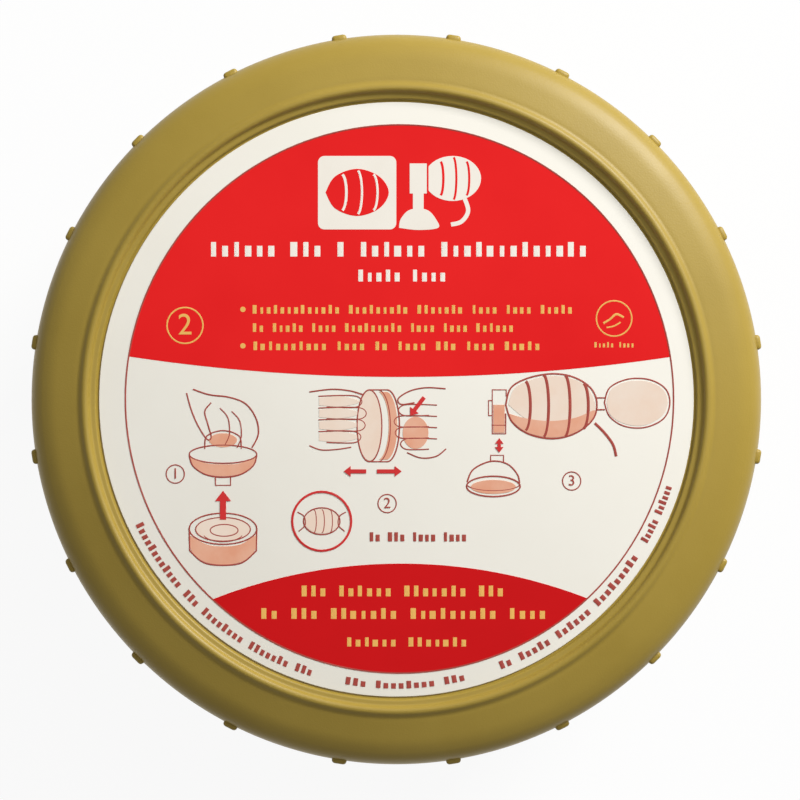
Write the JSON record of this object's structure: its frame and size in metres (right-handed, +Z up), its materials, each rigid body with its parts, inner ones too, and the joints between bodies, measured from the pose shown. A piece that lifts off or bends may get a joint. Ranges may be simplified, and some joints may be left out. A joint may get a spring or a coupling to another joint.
{
  "type": "bag valve mask",
  "caption": "Pocket bag valve mask: a collapsible resuscitator bag, valve, mask and reservoir packed in a round ribbed hard case with a printed lid label.",
  "frame": {"origin": "centre of the case's foot ring, on the plane it stands on", "axes": "+Z up through the lid, +Y to the top edge of the lid's label, +X to the label's right"},
  "size_m": [0.137, 0.137, 0.076],
  "materials": {
    "case_plastic": "satin moulded, fine grain",
    "label": "coated card, printed",
    "soft_grey": "matt",
    "manual_paper": "uncoated",
    "bag_silicone": "satin, translucent",
    "blue_plastic": "moulded",
    "flap_rubber": "matt",
    "oxygen_tubing": "clear green tinted",
    "reservoir_film": "clear film",
    "clear_plastic": "clear",
    "cuff_vinyl": "soft inflated vinyl"
  },
  "bodies": {
    "base": {"case_base": "case_plastic"},
    "rear_unit": {"squeeze_bag": "bag_silicone", "intake_housing": "blue_plastic", "reservoir_collar": "blue_plastic", "reservoir_bag": "reservoir_film", "reservoir_band": "soft_grey", "rear_neck_clamp": "blue_plastic", "oxygen_tube": "oxygen_tubing", "tube_connector": "blue_plastic"},
    "intake_valve": {"intake_flap": "flap_rubber"},
    "inlet_valve": {"reservoir_inlet_flap": "flap_rubber"},
    "relief_valve": {"reservoir_relief_flap": "flap_rubber"},
    "front_unit": {"front_collar": "blue_plastic", "front_neck_clamp": "blue_plastic"},
    "patient_valve": {"valve_body": "clear_plastic", "patient_port": "clear_plastic", "exhalation_cap": "blue_plastic"},
    "duckbill": {"duckbill_valve": "flap_rubber"},
    "exhalation_valve": {"exhalation_flap": "flap_rubber"},
    "mask": {"mask_dome": "clear_plastic", "mask_cuff": "cuff_vinyl", "cuff_valve_body": "clear_plastic"},
    "cuff_plug": {"cuff_valve_plug": "flap_rubber"},
    "manual": {"user_manual": "manual_paper"},
    "seal": {"lid_seal": "soft_grey"},
    "lid": {"case_lid": "case_plastic", "lid_label": "label"}
  },
  "joints": [
    {"name": "resuscitator_lift", "type": "slide", "parent": "base", "child": "rear_unit", "axis": [0, 0, 1], "range_m": [0, 0.09]},
    {"name": "intake_flap_lift", "type": "slide", "parent": "rear_unit", "child": "intake_valve", "axis": [0, 0, 1], "range_m": [0, 0.0015]},
    {"name": "reservoir_inlet_lift", "type": "slide", "parent": "rear_unit", "child": "inlet_valve", "axis": [0, 0, 1], "range_m": [0, 0.0008]},
    {"name": "reservoir_relief_drop", "type": "slide", "parent": "rear_unit", "child": "relief_valve", "axis": [0, 0, -1], "range_m": [0, 0.001], "stiffness_N_per_m": 20, "springref_m": -0.001},
    {"name": "bag_stretch", "type": "slide", "parent": "rear_unit", "child": "front_unit", "axis": [0, 0, 1], "range_m": [0, 0.125], "deforming": ["squeeze_bag"]},
    {"name": "valve_swivel", "type": "hinge", "parent": "front_unit", "child": "patient_valve", "pos_m": [0, 0, 0.0282], "axis": [0, 0, 1], "continuous": true},
    {"name": "duckbill_lift", "type": "slide", "parent": "patient_valve", "child": "duckbill", "axis": [0, 0, 1], "range_m": [0, 0.0012]},
    {"name": "exhalation_flap_lift", "type": "slide", "parent": "patient_valve", "child": "exhalation_valve", "axis": [0, 0, 1], "range_m": [0, 0.0015]},
    {"name": "mask_lift", "type": "slide", "parent": "front_unit", "child": "mask", "axis": [0, 0, 1], "range_m": [0, 0.06]},
    {"name": "cuff_plug_pull", "type": "slide", "parent": "mask", "child": "cuff_plug", "axis": [0, 0, -1], "range_m": [0, 0.006]},
    {"name": "manual_lift", "type": "slide", "parent": "mask", "child": "manual", "axis": [0, 0, 1], "range_m": [0, 0.05]},
    {"name": "lid_lift", "type": "slide", "parent": "manual", "child": "seal", "axis": [0, 0, 1], "range_m": [0, 0.06]},
    {"name": "lid_turn", "type": "hinge", "parent": "seal", "child": "lid", "pos_m": [0, 0, 0.0623], "axis": [0, 0, 1], "range_deg": [-25, 0]}
  ]
}
